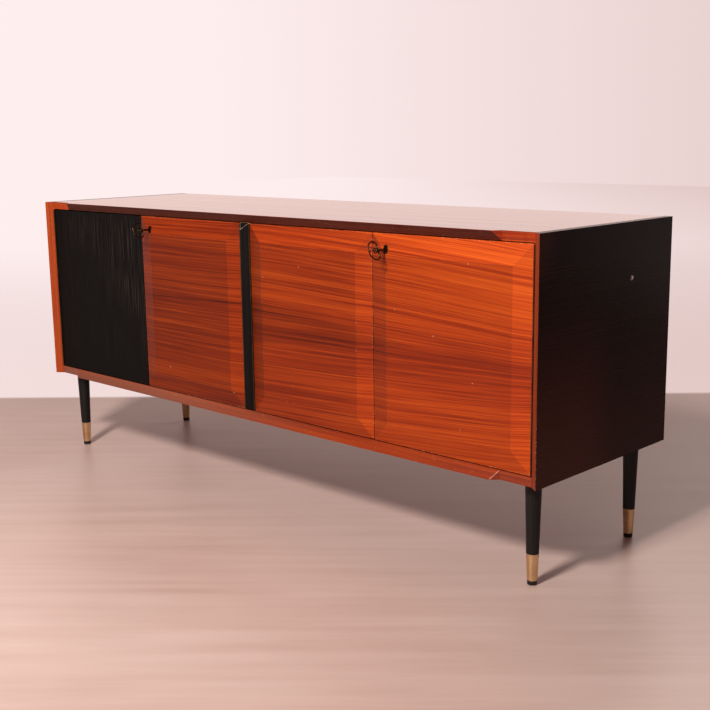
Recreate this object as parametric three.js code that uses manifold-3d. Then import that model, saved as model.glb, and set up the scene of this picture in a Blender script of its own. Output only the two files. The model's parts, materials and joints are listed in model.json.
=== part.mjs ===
// A four-door radio phonograph console on tapered legs.
// Millimetres, +Z up. The front faces -Y and the width runs along X.
// Inside the cabinet group, y = 0 is the plane of the front lips' tips and z = 0 is the floor.

import * as THREE from 'three';
import { mergeVertices } from 'three/addons/utils/BufferGeometryUtils.js';
import Module from 'manifold-3d';

const wasm = await Module();
wasm.setup();

// ---------- driving dimensions ----------

const WIDTH = 1750;             // over the side panels
const DEPTH = 508;              // tips of the lips to the back edges
const BODY_HEIGHT = 512;        // the box alone
const LEG_HEIGHT = 228;
const PANEL = 20.5;             // outer panels
const RECESS = 16;              // the door plane lies this far behind the lips' tips
const LIP_END = 115;            // the lips stop this far from each end, measured at the tip
const DOOR_GAP = 2;             // clear gap round each door
const DOOR_SPLIT = 424.5;       // centre line to the gap between two doors of a pair
const DIVIDER_HALF = 16;        // half the width of the centre divider
const DOOR_THICKNESS = 18;      // at a door's edge
const BEVEL_WIDTH = 45;         // round a door's raised field
const BEVEL_RISE = 8;
const KEY_REACH = 45;           // the keys stand this far in front of the lips
const GAP = 0.3;                // between pieces that touch

// ---------- places worked out from them ----------

const HALF = WIDTH / 2;
const INNER = HALF - PANEL;                     // inside face of a side panel
const TOP = LEG_HEIGHT + BODY_HEIGHT;
const INSIDE_LOW = LEG_HEIGHT + PANEL;
const INSIDE_HIGH = TOP - PANEL;
const DOOR_LOW = INSIDE_LOW + DOOR_GAP;
const DOOR_HIGH = INSIDE_HIGH - DOOR_GAP;
const DOOR_BACK = RECESS + DOOR_THICKNESS;
const FRONT_Y = -(DEPTH - KEY_REACH) / 2;       // puts the origin under the middle of the whole object
const FITTING_FRONT = 62;                       // front edges of the inner boards
const BACK_PANEL_THICKNESS = 5;
const BACK_PANEL_INSET = 4;                     // from the carcass's back edges
const BACK_PANEL_FRONT = DEPTH - BACK_PANEL_INSET - BACK_PANEL_THICKNESS;
const INNER_BACK = BACK_PANEL_FRONT - GAP;      // back edges of the inner boards

// ---------- colours ----------

const ROSEWOOD = { color: 0xa8421c, roughness: 0.35, metalness: 0 };
const DARK_ROSEWOOD = { color: 0x32170f, roughness: 0.3, metalness: 0 };
const PLAIN_WOOD = { color: 0xb98a5c, roughness: 0.7, metalness: 0 };
const BLACK_WOOD = { color: 0x1f1c1b, roughness: 0.45, metalness: 0 };
const HARDBOARD = { color: 0x7a5a3c, roughness: 0.9, metalness: 0 };
const BRASS = { color: 0xb8925c, roughness: 0.3, metalness: 1 };
const DARK_METAL = { color: 0x2c2826, roughness: 0.45, metalness: 1 };
const STEEL = { color: 0xa5a5a2, roughness: 0.4, metalness: 1 };
const BLACK_PLASTIC = { color: 0x141414, roughness: 0.4, metalness: 0 };
const IVORY_PLASTIC = { color: 0xe6dcc0, roughness: 0.35, metalness: 0 };
const CREAM_PAINT = { color: 0xd8ceb4, roughness: 0.4, metalness: 0.2 };
const GLASS = { color: 0xcfd8d4, roughness: 0.05, metalness: 0, transparent: true, opacity: 0.35 };
const PAPER_CONE = { color: 0x3a3430, roughness: 0.9, metalness: 0 };

// ---------- geometry helpers ----------

const X_AXIS = new THREE.Vector3(1, 0, 0);
const Y_AXIS = new THREE.Vector3(0, 1, 0);
const Z_AXIS = new THREE.Vector3(0, 0, 1);

/** A manifold solid from a closed three.js geometry. */
function toSolid(geometry) {
  const bare = geometry.clone();
  bare.deleteAttribute('normal');
  bare.deleteAttribute('uv');
  const merged = mergeVertices(bare, 1e-4);
  return new wasm.Manifold(new wasm.Mesh({
    numProp: 3,
    vertProperties: new Float32Array(merged.attributes.position.array),
    triVerts: new Uint32Array(merged.index.array),
  }));
}

/** A three.js geometry from a manifold solid. */
function toGeometry(solid) {
  const mesh = solid.getMesh();
  const geometry = new THREE.BufferGeometry();
  geometry.setAttribute('position', new THREE.BufferAttribute(mesh.vertProperties, 3));
  geometry.setIndex(new THREE.BufferAttribute(mesh.triVerts, 1));
  return geometry;
}

function join(first, ...others) {
  return toGeometry(others.reduce((solid, other) => solid.add(toSolid(other)), toSolid(first)));
}

function cut(first, ...tools) {
  return toGeometry(tools.reduce((solid, tool) => solid.subtract(toSolid(tool)), toSolid(first)));
}

function shared(first, second) {
  return toGeometry(toSolid(first).intersect(toSolid(second)));
}

/** A box from its low and high limits along each axis. */
function block([x0, x1], [y0, y1], [z0, z1]) {
  const geometry = new THREE.BoxGeometry(x1 - x0, y1 - y0, z1 - z0);
  return geometry.translate((x0 + x1) / 2, (y0 + y1) / 2, (z0 + z1) / 2);
}

function outline(points) {
  return new THREE.Shape(points.map(([a, b]) => new THREE.Vector2(a, b)));
}

/** An [x, y] outline raised along Z. */
function prismZ(points, [z0, z1]) {
  const geometry = new THREE.ExtrudeGeometry(outline(points), { depth: z1 - z0, bevelEnabled: false });
  return geometry.translate(0, 0, z0);
}

/** A [y, z] outline drawn out along X. */
function prismX(points, [x0, x1]) {
  const geometry = new THREE.ExtrudeGeometry(outline(points), { depth: x1 - x0, bevelEnabled: false });
  geometry.applyMatrix4(new THREE.Matrix4().makeBasis(Y_AXIS, Z_AXIS, X_AXIS));
  return geometry.translate(x0, 0, 0);
}

/** A solid of revolution about Y from [radius, y] points that start and end on the axis. */
function turnedAlongY(points, sides) {
  return new THREE.LatheGeometry(points.map(([radius, y]) => new THREE.Vector2(radius, y)), sides);
}

/** The same about Z, from [radius, z] points. */
function turnedAlongZ(points, sides) {
  return turnedAlongY(points, sides).rotateX(Math.PI / 2);
}

function rodY(radius, [y0, y1], x, z, sides = 16) {
  return turnedAlongY([[0, y0], [radius, y0], [radius, y1], [0, y1]], sides).translate(x, 0, z);
}

function rodZ(radius, [z0, z1], x, y, sides = 16) {
  return turnedAlongZ([[0, z0], [radius, z0], [radius, z1], [0, z1]], sides).translate(x, y, 0);
}

function rodX(radius, [x0, x1], y, z, sides = 16) {
  const rod = turnedAlongY([[0, x0], [radius, x0], [radius, x1], [0, x1]], sides);
  return rod.rotateZ(-Math.PI / 2).translate(0, y, z);
}

const cabinet = new THREE.Group();
cabinet.position.y = FRONT_Y;

/** Adds one named sub-part to the cabinet. */
function add(name, geometry, finish) {
  const mesh = new THREE.Mesh(geometry, new THREE.MeshStandardMaterial(finish));
  mesh.name = name;
  cabinet.add(mesh);
}

// ---------- the outer box ----------

const FOOT_INSET = { x: 48, y: 63 };            // leg centres from the outer faces
const FEET = [
  { name: 'front_left', x: -HALF + FOOT_INSET.x, y: FOOT_INSET.y },
  { name: 'front_right', x: HALF - FOOT_INSET.x, y: FOOT_INSET.y },
  { name: 'back_left', x: -HALF + FOOT_INSET.x, y: DEPTH - FOOT_INSET.y },
  { name: 'back_right', x: HALF - FOOT_INSET.x, y: DEPTH - FOOT_INSET.y },
];
const STUD_HOLE = { radius: 4.3, depth: 15 };   // for a leg's threaded stud

/** A top or bottom panel between the sides: its lip's tip is at outerZ and its root at innerZ. */
function lippedPanel(outerZ, innerZ) {
  const profile = [[0, outerZ], [RECESS, innerZ], [DEPTH, innerZ], [DEPTH, outerZ]];
  const tip = HALF - LIP_END;
  const root = tip + RECESS;
  const side = INNER - GAP;
  const plan = [
    [-tip, 0], [tip, 0], [root, RECESS], [side, RECESS], [side, DEPTH],
    [-side, DEPTH], [-side, RECESS], [-root, RECESS],
  ];
  const low = Math.min(outerZ, innerZ);
  return shared(prismX(profile, [-side, side]), prismZ(plan, [low, low + PANEL]));
}

/** A side panel whose front edge is a chamfer with its tip at the outer face. */
function sidePanel(side) {
  const plan = [[side * HALF, 0], [side * HALF, DEPTH], [side * INNER, DEPTH], [side * INNER, RECESS]];
  return prismZ(plan, [LEG_HEIGHT, TOP]);
}

const SIDE_STUD = { y: 344, z: 620, headRadius: 6.5, headDepth: 1.6, shankRadius: 3.5, shankDepth: 13 };

function addOuterBox() {
  add('top_panel', lippedPanel(TOP, INSIDE_HIGH), DARK_ROSEWOOD);
  const studHoles = FEET.map((foot) => (
    rodZ(STUD_HOLE.radius, [LEG_HEIGHT - 1, LEG_HEIGHT + STUD_HOLE.depth], foot.x, foot.y)));
  add('bottom_panel', cut(lippedPanel(LEG_HEIGHT, INSIDE_LOW), ...studHoles), ROSEWOOD);
  add('side_panel_left', sidePanel(-1), DARK_ROSEWOOD);

  const { y, z, headRadius, headDepth, shankRadius, shankDepth } = SIDE_STUD;
  const seat = rodX(headRadius + GAP, [HALF - headDepth, HALF + 1], y, z, 24);
  const hole = rodX(shankRadius + GAP, [HALF - shankDepth, HALF], y, z);
  add('side_panel_right', cut(sidePanel(1), seat, hole), DARK_ROSEWOOD);
  const head = rodX(headRadius, [HALF - headDepth + GAP, HALF], y, z, 24);
  const shank = rodX(shankRadius, [HALF - shankDepth + GAP, HALF - headDepth / 2], y, z);
  add('side_stud', join(head, shank), BRASS);
}

// ---------- inner boards ----------

const BOARD_Z = [INSIDE_LOW + GAP, INSIDE_HIGH - GAP];
const BAY_WALL_X = [-446, -432];                // between the loudspeaker and the radio
const DECK_Z = [465, 481];
const SHELF_Z = [590, 608];
const CORD_INLET = { x: -100, z: 285, radius: 8 };
const VENT = { length: 90, height: 5, pitch: 14, rows: 6, columns: [-330, -190], z: 380 };

/** The strip that covers the divider: a ridge towards the front, hipped at both ends. */
function dividerRidge() {
  const [low, high] = BOARD_Z;
  const plan = [[-DIVIDER_HALF, RECESS], [0, 0], [DIVIDER_HALF, RECESS]];
  const profile = [[RECESS, low], [0, low + RECESS], [0, high - RECESS], [RECESS, high]];
  return shared(prismZ(plan, BOARD_Z), prismX(profile, [-DIVIDER_HALF, DIVIDER_HALF]));
}

function backPanel(x0, x1) {
  return block([x0, x1], [BACK_PANEL_FRONT, BACK_PANEL_FRONT + BACK_PANEL_THICKNESS], BOARD_Z);
}

function ventSlots() {
  const slots = [];
  for (const x of VENT.columns) {
    for (let row = 0; row < VENT.rows; row += 1) {
      const z = VENT.z + row * VENT.pitch;
      const across = [x - VENT.length / 2, x + VENT.length / 2];
      slots.push(block(across, [INNER_BACK, DEPTH], [z, z + VENT.height]));
    }
  }
  return slots;
}

function addInnerBoards() {
  const partitionX = [-DIVIDER_HALF, DIVIDER_HALF];
  add('centre_partition', block(partitionX, [RECESS + GAP, INNER_BACK], BOARD_Z), PLAIN_WOOD);
  add('divider_ridge', dividerRidge(), BLACK_WOOD);
  add('bay_partition', block(BAY_WALL_X, [FITTING_FRONT, INNER_BACK], BOARD_Z), PLAIN_WOOD);
  const deckX = [BAY_WALL_X[1] + GAP, -DIVIDER_HALF - GAP];
  add('player_deck', block(deckX, [FITTING_FRONT, INNER_BACK], DECK_Z), PLAIN_WOOD);
  const shelfX = [DIVIDER_HALF + GAP, INNER - GAP];
  add('storage_shelf', block(shelfX, [FITTING_FRONT, INNER_BACK], SHELF_Z), PLAIN_WOOD);
  const inlet = rodY(CORD_INLET.radius, [INNER_BACK, DEPTH], CORD_INLET.x, CORD_INLET.z);
  const middle = GAP / 2;
  add('back_panel_left', cut(backPanel(-INNER + GAP, -middle), inlet, ...ventSlots()), HARDBOARD);
  add('back_panel_right', backPanel(middle, INNER - GAP), HARDBOARD);
}

// ---------- legs ----------

const LEG = { topRadius: 17.8, waistRadius: 13.6, tipRadius: 10.4 };
const FERRULE = { low: 10, high: 69, wall: 1 };
const LEG_SIDES = 24;

/** Outside radius of a leg at height z, which tapers evenly below its waist and above it. */
function legRadius(z) {
  const { topRadius, waistRadius, tipRadius } = LEG;
  if (z > FERRULE.high) {
    const share = (z - FERRULE.high) / (LEG_HEIGHT - FERRULE.high);
    return waistRadius + share * (topRadius - waistRadius);
  }
  return tipRadius + (z / FERRULE.high) * (waistRadius - tipRadius);
}

function addLeg({ name, x, y }) {
  const inset = FERRULE.wall + GAP;
  const low = FERRULE.low + GAP;
  const high = LEG_HEIGHT - GAP;
  const studTop = LEG_HEIGHT + STUD_HOLE.depth - 1;
  const leg = turnedAlongZ([
    [0, low],
    [legRadius(low) - inset, low],
    [legRadius(FERRULE.high) - inset, FERRULE.high + GAP],
    [legRadius(FERRULE.high), FERRULE.high + GAP],
    [legRadius(high), high],
    [STUD_HOLE.radius - GAP, high],
    [STUD_HOLE.radius - GAP, studTop],
    [0, studTop],
  ], LEG_SIDES);
  const ferrule = turnedAlongZ([
    [legRadius(low) - FERRULE.wall, low],
    [legRadius(low), low],
    [legRadius(FERRULE.high), FERRULE.high],
    [legRadius(FERRULE.high) - FERRULE.wall, FERRULE.high],
    [legRadius(low) - FERRULE.wall, low],
  ], LEG_SIDES);
  const rounding = 2.5;
  const glide = turnedAlongZ([
    [0, 0],
    [LEG.tipRadius - rounding, 0],
    [LEG.tipRadius - rounding * 0.3, rounding * 0.3],
    [LEG.tipRadius, rounding],
    [legRadius(FERRULE.low), FERRULE.low],
    [0, FERRULE.low],
  ], LEG_SIDES);
  add(`leg_${name}`, leg.translate(x, y, 0), BLACK_WOOD);
  add(`ferrule_${name}`, ferrule.translate(x, y, 0), BRASS);
  add(`glide_${name}`, glide.translate(x, y, 0), BLACK_PLASTIC);
}

// ---------- doors and hinges ----------

const INNER_DOORS = [DIVIDER_HALF + DOOR_GAP, DOOR_SPLIT - DOOR_GAP / 2];
const OUTER_DOORS = [DOOR_SPLIT + DOOR_GAP / 2, INNER - DOOR_GAP];
const DOORS = [
  { name: 'far_left', left: -OUTER_DOORS[1], right: -OUTER_DOORS[0], hinge: 'left', flat: true },
  { name: 'inner_left', left: -INNER_DOORS[1], right: -INNER_DOORS[0], hinge: 'right', locked: true },
  { name: 'inner_right', left: INNER_DOORS[0], right: INNER_DOORS[1], hinge: 'left' },
  { name: 'far_right', left: OUTER_DOORS[0], right: OUTER_DOORS[1], hinge: 'right', locked: true },
];
const HINGE = {
  knuckleRadius: 1.6,
  boreRadius: 0.95,
  pinRadius: 0.7,
  leaf: 0.6,
  reach: 28,
  inset: 1,
  knuckles: 5,
};
const HINGE_Y = RECESS - HINGE.knuckleRadius - 0.2;

/** A door whose front rises by a bevel on all four sides to a flat field, or is flat all over. */
function doorPanel({ left, right, flat }) {
  if (flat) {
    return block([left, right], [RECESS, DOOR_BACK], [DOOR_LOW, DOOR_HIGH]);
  }
  const raised = RECESS - BEVEL_RISE;
  const profile = [
    [DOOR_BACK, DOOR_LOW], [RECESS, DOOR_LOW], [raised, DOOR_LOW + BEVEL_WIDTH],
    [raised, DOOR_HIGH - BEVEL_WIDTH], [RECESS, DOOR_HIGH], [DOOR_BACK, DOOR_HIGH],
  ];
  const plan = [
    [left, DOOR_BACK], [left, RECESS], [left + BEVEL_WIDTH, raised],
    [right - BEVEL_WIDTH, raised], [right, RECESS], [right, DOOR_BACK],
  ];
  return shared(prismX(profile, [left, right]), prismZ(plan, [DOOR_LOW, DOOR_HIGH]));
}

/**
 * One leaf of a door's piano hinge. side says on which side of the pin the leaf lies, and the leaf
 * owns the knuckles whose number is even or odd. The leaf with the even knuckles holds the pin.
 */
function hingeLeaf(axisX, side, holdsPin) {
  const near = axisX + side * GAP / 2;
  const far = near + side * HINGE.leaf;
  const thickness = [Math.min(near, far), Math.max(near, far)];
  const low = DOOR_LOW + HINGE.inset;
  const pitch = (DOOR_HIGH - HINGE.inset - low) / HINGE.knuckles;
  const first = holdsPin ? 0 : 1;
  let leaf = block(thickness, [RECESS + GAP, RECESS + HINGE.reach], [low, low + HINGE.knuckles * pitch]);
  for (let knuckle = first; knuckle < HINGE.knuckles; knuckle += 2) {
    const span = [low + knuckle * pitch + GAP, low + (knuckle + 1) * pitch - GAP];
    leaf = join(
      leaf,
      rodZ(HINGE.knuckleRadius, span, axisX, HINGE_Y, 12),
      block(thickness, [HINGE_Y, RECESS + 1], span),
    );
  }
  const length = [low + GAP, low + HINGE.knuckles * pitch - GAP];
  return holdsPin
    ? join(leaf, rodZ(HINGE.pinRadius, length, axisX, HINGE_Y, 12))
    : cut(leaf, rodZ(HINGE.boreRadius, [DOOR_LOW, DOOR_HIGH], axisX, HINGE_Y, 12));
}

function addHinge({ name, left, right, hinge }) {
  const outward = hinge === 'left' ? -1 : 1;
  const edge = hinge === 'left' ? left : right;
  const axisX = edge + outward * DOOR_GAP / 2;
  add(`hinge_leaf_fixed_${name}`, hingeLeaf(axisX, outward, true), DARK_METAL);
  add(`hinge_leaf_door_${name}`, hingeLeaf(axisX, -outward, false), DARK_METAL);
}

// ---------- locks and keys ----------

const KEY_FROM_EDGE = 44;                       // keyhole to the door's free edge
const KEY_FROM_TOP = 34;                        // keyhole to the door's top
const KEY = { shankRadius: 2.2, lobe: 23, wire: 3.5, collarRadius: 3.6 };
const KEY_LEAN = THREE.MathUtils.degToRad(23);  // the bow leans to the left of upright
const KEYHOLE_RADIUS = 3.2;
const BIT = { halfWidth: 1.2, reach: 9, y: [DOOR_BACK + 3, DOOR_BACK + 9] };
const LOCK = { fromEdge: 2, width: 58, height: 46, depth: 12, wall: 1.4, y: DOOR_BACK + GAP };
const BOLT = { fromEdge: 1, length: 36, height: 10, y: BIT.y, above: 6, clearance: 1 };
const BEVEL_SLOPE = Math.atan(BEVEL_RISE / BEVEL_WIDTH);
const KEYHOLE_Z = DOOR_HIGH - KEY_FROM_TOP;
const KEYHOLE_Y = RECESS - BEVEL_RISE * KEY_FROM_TOP / BEVEL_WIDTH;
const BOLT_Z = [KEYHOLE_Z + BOLT.above, KEYHOLE_Z + BOLT.above + BOLT.height];
const BOW_PINCH = 0.62;                         // reach between the lobes over reach at a lobe

/** Points of a two-lobed bow, wide across its lobes and pinched between them. */
function bowPoints(lobe, steps) {
  const points = [];
  for (let step = 0; step < steps; step += 1) {
    const angle = 2 * Math.PI * step / steps;
    const radius = lobe * (BOW_PINCH + (1 - BOW_PINCH) * Math.abs(Math.sin(angle)));
    points.push([radius * Math.cos(angle), radius * Math.sin(angle)]);
  }
  return points;
}

/** A key in its lock, with its bow in front of the door and its bit inside the case. */
function keySolid(x) {
  const outer = bowPoints(KEY.lobe, 36);
  const inner = bowPoints(KEY.lobe - KEY.wire, 36);
  const bowHalf = Math.max(...outer.map(([y]) => y));
  const bowY = -KEY_REACH + bowHalf;
  const half = KEY.wire / 2;
  const bow = cut(prismX(outer, [-half, half]), prismX(inner, [-half - 1, half + 1])).translate(0, bowY, 0);
  const neck = bowY + BOW_PINCH * KEY.lobe - half;
  const shank = rodY(KEY.shankRadius, [neck, BIT.y[1] + 1], 0, 0, 12);
  const collar = rodY(KEY.collarRadius, [neck + 2, neck + 5], 0, 0, 12);
  const bit = block([-BIT.halfWidth, BIT.halfWidth], BIT.y, [-BIT.reach, 0]);
  return join(bow, shank, collar, bit).rotateY(-KEY_LEAN).translate(x, 0, KEYHOLE_Z);
}

const ESCUTCHEON = { radius: 11, thickness: 1.5 };

/** A plate round the keyhole, lying on the bevel. */
function escutcheon(x) {
  const { radius, thickness } = ESCUTCHEON;
  const plate = rodY(radius, [-GAP - thickness, -GAP], 0, 0, 24);
  plate.rotateX(-BEVEL_SLOPE).translate(x, KEYHOLE_Y, KEYHOLE_Z);
  return cut(plate, rodY(KEYHOLE_RADIUS, [0, RECESS], x, KEYHOLE_Z));
}

/** A shallow case behind the door: open towards the door, slotted at the free edge for the bolt. */
function lockCase(edge) {
  const x = [edge + LOCK.fromEdge, edge + LOCK.fromEdge + LOCK.width];
  const y = [LOCK.y, LOCK.y + LOCK.depth];
  const z = [KEYHOLE_Z - LOCK.height / 2, KEYHOLE_Z + LOCK.height / 2];
  const hollow = block(
    [x[0] + LOCK.wall, x[1] - LOCK.wall],
    [y[0] - 1, y[1] - LOCK.wall],
    [z[0] + LOCK.wall, z[1] - LOCK.wall],
  );
  const slot = block(
    [x[0] - 1, x[0] + 2 * LOCK.wall],
    [BOLT.y[0] - BOLT.clearance, BOLT.y[1] + BOLT.clearance],
    [BOLT_Z[0] - BOLT.clearance, BOLT_Z[1] + BOLT.clearance],
  );
  return cut(block(x, y, z), hollow, slot);
}

function addLock({ name, left: edge }) {
  const x = edge + KEY_FROM_EDGE;
  const boltX = [edge + BOLT.fromEdge, edge + BOLT.fromEdge + BOLT.length];
  add(`escutcheon_${name}`, escutcheon(x), DARK_METAL);
  add(`key_${name}`, keySolid(x), DARK_METAL);
  add(`lock_case_${name}`, lockCase(edge), STEEL);
  add(`lock_bolt_${name}`, block(boltX, BOLT.y, BOLT_Z), STEEL);
}

function addDoors() {
  for (const door of DOORS) {
    const keyhole = rodY(KEYHOLE_RADIUS + GAP, [0, DOOR_BACK + 1], door.left + KEY_FROM_EDGE, KEYHOLE_Z);
    const panel = door.locked ? cut(doorPanel(door), keyhole) : doorPanel(door);
    add(`door_${door.name}`, panel, door.flat ? BLACK_WOOD : ROSEWOOD);
    addHinge(door);
    if (door.locked) {
      addLock(door);
    }
  }
}

// ---------- radio ----------

const FASCIA = {
  x: [BAY_WALL_X[1] + GAP, -DIVIDER_HALF - GAP],
  y: [75, 83],
  z: [INSIDE_LOW + GAP, DECK_Z[0] - GAP],
};
const RADIO_X = -224;                           // middle of the radio bay
const DIAL = { halfWidth: 150, z: [368, 440], ledge: 6, glass: 3 };
const POINTER = { halfTravel: 130, width: 2, y: [84, 86], below: 2, above: 6 };
const CARRIAGE = { width: 18, y: [84, 92], z: [444, 452] };
const KNOB_Z = 305;
const KNOBS = [
  { name: 'volume_knob', x: RADIO_X - 150, radius: 20 },
  { name: 'tone_knob', x: RADIO_X - 96, radius: 14 },
  { name: 'tuning_knob', x: RADIO_X + 150, radius: 20 },
];
const KNOB = { depth: 20, shaftRadius: 3, shaftBack: 30, skirt: 2, clear: 1 };
const BUTTONS = { count: 3, pitch: 30, x: RADIO_X + 22, size: [24, 12], y: [62, 96], clearance: 0.5 };

/** The fascia: a dial window with a ledge for the glass, knob shaft holes and button slots. */
function radioFascia() {
  const [front, back] = FASCIA.y;
  const { halfWidth, z, ledge, glass } = DIAL;
  const through = [front - 1, back + 1];
  const window = block([RADIO_X - halfWidth, RADIO_X + halfWidth], through, z);
  const seat = block(
    [RADIO_X - halfWidth - ledge, RADIO_X + halfWidth + ledge],
    [front - 1, front + glass + GAP],
    [z[0] - ledge, z[1] + ledge],
  );
  const holeRadius = KNOB.shaftRadius + 0.5;
  const shaftHoles = KNOBS.map((knob) => rodY(holeRadius, through, knob.x, KNOB_Z));
  const slots = buttonPlaces().map((x) => buttonBlock(x, through, BUTTONS.clearance));
  return cut(block(FASCIA.x, FASCIA.y, FASCIA.z), window, seat, ...shaftHoles, ...slots);
}

function buttonPlaces() {
  const places = [];
  for (let index = 0; index < BUTTONS.count; index += 1) {
    places.push(BUTTONS.x + (index - (BUTTONS.count - 1) / 2) * BUTTONS.pitch);
  }
  return places;
}

function buttonBlock(x, y, clearance) {
  const [width, height] = BUTTONS.size;
  const halfWidth = width / 2 + clearance;
  const halfHeight = height / 2 + clearance;
  return block([x - halfWidth, x + halfWidth], y, [KNOB_Z - halfHeight, KNOB_Z + halfHeight]);
}

/** A knob with a wider skirt, on a shaft that runs back through the fascia. */
function knobSolid({ x, radius }) {
  const front = FASCIA.y[0] - KNOB.depth;
  const back = FASCIA.y[0] - KNOB.clear;
  const grip = radius - 1;
  const shaftEnd = FASCIA.y[0] + KNOB.shaftBack;
  return turnedAlongY([
    [0, front],
    [grip - 1.5, front],
    [grip, front + 1.5],
    [grip, back - 5],
    [radius + KNOB.skirt, back - 2],
    [radius + KNOB.skirt, back],
    [KNOB.shaftRadius, back],
    [KNOB.shaftRadius, shaftEnd],
    [0, shaftEnd],
  ], 32).translate(x, 0, KNOB_Z);
}

const CHASSIS = { halfWidth: 190, y: [112, 400], z: [INSIDE_LOW + 1, 290], wall: 1.5 };
const TRANSFORMER = { fromEnd: 20, width: 70, depth: 60, height: 62 };
const COIL_CAN = { radius: 16, fromEnd: 50, height: 70 };
const VALVES = { count: 4, radius: 10, fromEnd: 110, pitch: 48, height: 55 };

/** A sheet-metal tray, open below, with a transformer, a coil can and valves on it. */
function radioChassis() {
  const [x0, x1] = [RADIO_X - CHASSIS.halfWidth, RADIO_X + CHASSIS.halfWidth];
  const [y0, y1] = CHASSIS.y;
  const [z0, z1] = CHASSIS.z;
  const wall = CHASSIS.wall;
  const shell = cut(
    block([x0, x1], [y0, y1], [z0, z1]),
    block([x0 + wall, x1 - wall], [y0 + wall, y1 - wall], [z0 - 1, z1 - wall]),
  );
  const endX = x1 - TRANSFORMER.fromEnd;
  const endY = y1 - TRANSFORMER.fromEnd;
  const transformer = block(
    [endX - TRANSFORMER.width, endX],
    [endY - TRANSFORMER.depth, endY],
    [z1 - wall, z1 + TRANSFORMER.height],
  );
  const canister = rodZ(
    COIL_CAN.radius, [z1 - wall, z1 + COIL_CAN.height], x0 + COIL_CAN.fromEnd, y1 - COIL_CAN.fromEnd, 20);
  const valves = [];
  for (let index = 0; index < VALVES.count; index += 1) {
    const x = x0 + VALVES.fromEnd + index * VALVES.pitch;
    valves.push(rodZ(VALVES.radius, [z1 - wall, z1 + VALVES.height], x, y1 - COIL_CAN.fromEnd, 12));
  }
  return join(shell, transformer, canister, ...valves);
}

/** The dial's pointer: a needle that hangs from a carriage above the window. */
function dialPointer() {
  const x = RADIO_X - POINTER.halfTravel;
  const [low, high] = DIAL.z;
  const needle = block(
    [x - POINTER.width / 2, x + POINTER.width / 2], POINTER.y, [low + POINTER.below, high + POINTER.above]);
  const carriage = block([x - CARRIAGE.width / 2, x + CARRIAGE.width / 2], CARRIAGE.y, CARRIAGE.z);
  return join(needle, carriage);
}

function dialGlass() {
  const { halfWidth, z, ledge, glass } = DIAL;
  const reach = halfWidth + ledge - GAP;
  return block(
    [RADIO_X - reach, RADIO_X + reach],
    [FASCIA.y[0], FASCIA.y[0] + glass],
    [z[0] - ledge + GAP, z[1] + ledge - GAP],
  );
}

function addRadio() {
  add('radio_chassis', radioChassis(), STEEL);
  add('radio_fascia', radioFascia(), BLACK_PLASTIC);
  add('dial_glass', dialGlass(), GLASS);
  add('dial_pointer', dialPointer(), IVORY_PLASTIC);
  for (const knob of KNOBS) {
    add(knob.name, knobSolid(knob), IVORY_PLASTIC);
  }
  buttonPlaces().forEach((x, index) => {
    add(`push_button_${index + 1}`, buttonBlock(x, BUTTONS.y, 0), IVORY_PLASTIC);
  });
}

// ---------- record player ----------

const PLAYER_X = [-404, -44];
const PLAYER_Y = [100, 420];
const PLAYER_Z = [DECK_Z[1] + GAP, DECK_Z[1] + GAP + 3];
const PLATTER = { x: -259, y: 255, radius: 125, z: [490, 500], hub: 6, spindle: 3.5, spindleTop: 518 };
const BEARING_CLEARANCE = 0.5;
const ARM_PIVOT = { x: -85, y: 375, z: 520 };
const ARM_LENGTH = 215;                         // pivot to stylus
const SWIVEL = { radius: 12, z: [499, 526], slot: 5 };
const REST = { radius: 3.5, ahead: 120, top: 515.2 };
const ARM = { tubeRadius: 4, behind: 50 };
const COUNTERWEIGHT = { radius: 11, behind: [24, 48] };
const HEADSHELL = { halfWidth: 8, reach: [-10, 26], z: [-9, 4] };
const STYLUS = { halfWidth: 2, z: [-15, -8] };

/** The steel plate that carries the platter's bearing, the arm's post and its rest. */
function playerPlate() {
  const { x, y } = ARM_PIVOT;
  const plate = block(PLAYER_X, PLAYER_Y, PLAYER_Z);
  const post = rodZ(SWIVEL.radius, [PLAYER_Z[0], SWIVEL.z[0] - GAP], x, y, 20);
  const rest = rodZ(REST.radius, [PLAYER_Z[0], REST.top], x, y - REST.ahead, 12);
  const boreRadius = PLATTER.hub + BEARING_CLEARANCE;
  const bearing = rodZ(boreRadius, [PLAYER_Z[0] - 1, PLAYER_Z[1] + 1], PLATTER.x, PLATTER.y, 20);
  return cut(join(plate, post, rest), bearing);
}

/** A disc with eased edges on a hub, with a spindle whose tip tapers to a point. */
function platterSolid() {
  const { x, y, radius, z: [low, high], hub, spindle, spindleTop } = PLATTER;
  const hubLow = PLAYER_Z[0] + BEARING_CLEARANCE;
  const ease = 1.5;
  return turnedAlongZ([
    [0, hubLow],
    [hub, hubLow],
    [hub, low],
    [radius - ease, low],
    [radius, low + ease],
    [radius, high - ease],
    [radius - ease, high],
    [spindle, high],
    [spindle, spindleTop - 2],
    [0, spindleTop],
  ], 48).translate(x, y, 0);
}

/** The turning head of the arm's post: two ears stand either side of the arm. */
function armSwivel() {
  const { x, y, z } = ARM_PIVOT;
  const head = rodZ(SWIVEL.radius, SWIVEL.z, x, y, 20);
  const across = [x - SWIVEL.slot, x + SWIVEL.slot];
  const along = [y - 2 * SWIVEL.radius, y + 2 * SWIVEL.radius];
  return cut(head, block(across, along, [z - 2 * SWIVEL.slot, z + 2 * SWIVEL.slot]));
}

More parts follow.
